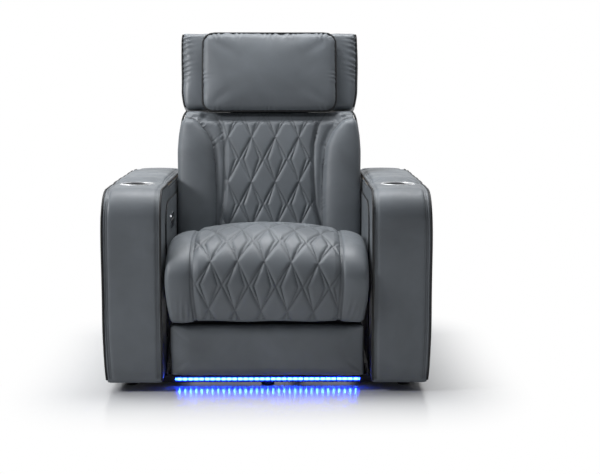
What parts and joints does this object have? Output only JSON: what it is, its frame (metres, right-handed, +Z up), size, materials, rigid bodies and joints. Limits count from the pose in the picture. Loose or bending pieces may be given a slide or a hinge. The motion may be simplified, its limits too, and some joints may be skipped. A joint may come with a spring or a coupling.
{
  "type": "cinema recliner seat",
  "caption": "Power recliner cinema seat with quilted seat and back, separate tilting headrest, cup holders and storage under padded arm lids, folding footrest and a light strip below.",
  "frame": {"origin": "on the floor, at the middle of the bounding box in plan", "axes": "+Z up; the seat faces -Y; +X to the right of a viewer who faces its front; millimetre source, metre rows"},
  "size_m": [0.96, 0.9009, 1.0713],
  "materials": {
    "leather": "satin",
    "leather_panel": "satin",
    "carcass_wood": "matte",
    "black_steel": "satin",
    "zinc_steel": "satin",
    "stainless": "satin",
    "black_plastic": "matte",
    "white_plastic": "matte",
    "webbing": "matte",
    "blue_light": "gloss"
  },
  "bodies": {
    "base": {"base_beams": "black_steel", "base_channels": "zinc_steel", "floor_glides": "black_plastic", "led_rail": "black_steel", "led_strip": "blue_light", "led_end_clips": "black_plastic", "power_box": "black_plastic", "recline_actuator": "black_plastic", "arm_frame_left": "carcass_wood", "arm_frame_right": "carcass_wood", "arm_cover_left": "leather", "arm_cover_right": "leather", "arm_inner_panel_left": "leather_panel", "arm_inner_panel_right": "leather_panel", "storage_bin_left": "black_plastic", "storage_bin_right": "black_plastic", "cup_holder_left": "stainless", "cup_holder_right": "stainless", "touch_tab_left": "black_plastic", "touch_tab_right": "black_plastic", "lid_hinge_left": "zinc_steel", "lid_hinge_right": "zinc_steel", "control_bezel": "stainless", "usb_port": "zinc_steel"},
    "lid_left": {"lid_board_left": "carcass_wood", "lid_pad_left": "leather", "lid_leaf_left": "zinc_steel"},
    "lid_right": {"lid_board_right": "carcass_wood", "lid_pad_right": "leather", "lid_leaf_right": "zinc_steel"},
    "carriage": {"carriage_plates": "zinc_steel", "carriage_tubes": "zinc_steel", "slide_blocks": "white_plastic", "seat_frame": "carcass_wood", "seat_webbing": "webbing", "seat_cushion": "leather", "actuator_rod": "zinc_steel", "footrest_motor": "black_plastic"},
    "front_linkage": {"front_links": "zinc_steel"},
    "rear_linkage": {"rear_links": "zinc_steel"},
    "knuckles": {"knuckle_plates": "zinc_steel"},
    "rods": {"drive_rods": "zinc_steel"},
    "footrest": {"footrest_board": "carcass_wood", "footrest_brackets": "zinc_steel", "footrest_pad": "leather"},
    "back": {"back_frame": "carcass_wood", "back_brackets": "zinc_steel", "back_cushion": "leather", "back_shell": "leather_panel", "headrest_motor": "black_plastic"},
    "headrest": {"headrest_frame": "carcass_wood", "headrest_wings": "leather", "headrest_pillow": "leather"},
    "key_recline": {"button_recline": "black_plastic"},
    "key_upright": {"button_upright": "black_plastic"},
    "key_home": {"button_home": "black_plastic"},
    "key_head_forward": {"button_head_forward": "black_plastic"},
    "key_head_back": {"button_head_back": "black_plastic"}
  },
  "joints": [
    {"name": "seat_glide", "type": "slide", "parent": "base", "child": "carriage", "axis": [0, -1, 0], "range_m": [0, 0.1]},
    {"name": "back_recline", "type": "hinge", "parent": "carriage", "child": "back", "pos_m": [0, 0.1605, 0.3], "axis": [-1, 0, 0], "range_deg": [0, 40]},
    {"name": "footrest_swing", "type": "hinge", "parent": "carriage", "child": "front_linkage", "pos_m": [0, -0.2715, 0.298], "axis": [-1, 0, 0], "range_deg": [0, 76]},
    {"name": "rear_link_swing", "type": "hinge", "parent": "carriage", "child": "rear_linkage", "pos_m": [0, -0.2265, 0.28], "axis": [-1, 0, 0], "range_deg": [0, 76]},
    {"name": "knuckle_hinge", "type": "hinge", "parent": "front_linkage", "child": "knuckles", "pos_m": [0, -0.23949, 0.07024], "axis": [-1, 0, 0], "range_deg": [-76, 0]},
    {"name": "drive_rod_hinge", "type": "hinge", "parent": "front_linkage", "child": "rods", "pos_m": [0, -0.243, 0.04246], "axis": [-1, 0, 0], "range_deg": [-76, 0]},
    {"name": "footrest_board_hinge", "type": "hinge", "parent": "knuckles", "child": "footrest", "pos_m": [0, -0.3695, 0.186], "axis": [-1, 0, 0], "range_deg": [0, 76]},
    {"name": "headrest_tilt", "type": "hinge", "parent": "back", "child": "headrest", "pos_m": [0, 0.22324, 0.79966], "axis": [1, 0, 0], "range_deg": [0, 30]},
    {"name": "lid_right_hinge", "type": "hinge", "parent": "base", "child": "lid_right", "pos_m": [0.475, 0, 0.57665], "axis": [0, 1, 0], "range_deg": [0, 90]},
    {"name": "lid_left_hinge", "type": "hinge", "parent": "base", "child": "lid_left", "pos_m": [-0.475, 0, 0.57665], "axis": [0, -1, 0], "range_deg": [0, 90]},
    {"name": "button_recline_press", "type": "slide", "parent": "base", "child": "key_recline", "axis": [-1, 0, 0], "range_m": [0, 0.0015], "stiffness_N_per_m": 400},
    {"name": "button_upright_press", "type": "slide", "parent": "base", "child": "key_upright", "axis": [-1, 0, 0], "range_m": [0, 0.0015], "stiffness_N_per_m": 400},
    {"name": "button_home_press", "type": "slide", "parent": "base", "child": "key_home", "axis": [-1, 0, 0], "range_m": [0, 0.0015], "stiffness_N_per_m": 400},
    {"name": "button_head_forward_press", "type": "slide", "parent": "base", "child": "key_head_forward", "axis": [-1, 0, 0], "range_m": [0, 0.0015], "stiffness_N_per_m": 400},
    {"name": "button_head_back_press", "type": "slide", "parent": "base", "child": "key_head_back", "axis": [-1, 0, 0], "range_m": [0, 0.0015], "stiffness_N_per_m": 400}
  ],
  "couplings": [
    {"joint": "back_recline", "follows": "seat_glide", "rad_per_m": 6.9813},
    {"joint": "rear_link_swing", "follows": "footrest_swing", "ratio": 1},
    {"joint": "knuckle_hinge", "follows": "footrest_swing", "ratio": -1},
    {"joint": "drive_rod_hinge", "follows": "footrest_swing", "ratio": -1},
    {"joint": "footrest_board_hinge", "follows": "footrest_swing", "ratio": 1}
  ]
}
